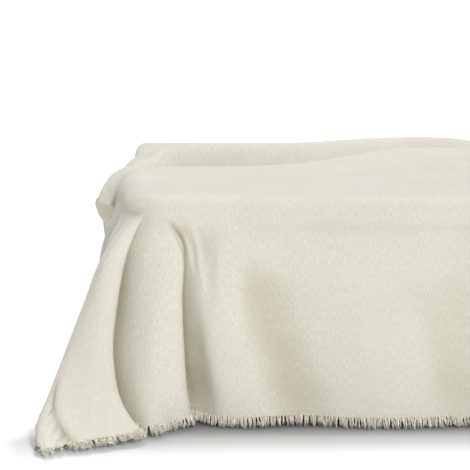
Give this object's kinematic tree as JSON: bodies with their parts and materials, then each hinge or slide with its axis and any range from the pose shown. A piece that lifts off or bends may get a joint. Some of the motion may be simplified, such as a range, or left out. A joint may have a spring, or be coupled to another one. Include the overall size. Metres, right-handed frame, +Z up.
{
  "type": "fringed bedspread on a mattress and bed base",
  "caption": "Woven cream bedspread with fringed ends, draped over a plain mattress and divan base and falling in folds to the floor at the foot.",
  "frame": {"origin": "on the floor under the middle of the bed base", "axes": "+Y from the foot to the head of the bed, +Z up, +X to the right as seen from the foot"},
  "size_m": [1.7711, 2.3042, 0.6351],
  "materials": {
    "spread_cloth": "matt woven cloth with raised warp streaks",
    "fringe_yarn": "matt loose yarn",
    "mattress_cloth": "matt knitted cover",
    "base_cloth": "matt woven upholstery"
  },
  "bodies": {
    "root": {"bed_base": "base_cloth", "mattress": "mattress_cloth", "bedspread": "spread_cloth", "fringe_foot": "fringe_yarn", "fringe_head": "fringe_yarn"}
  },
  "joints": []
}
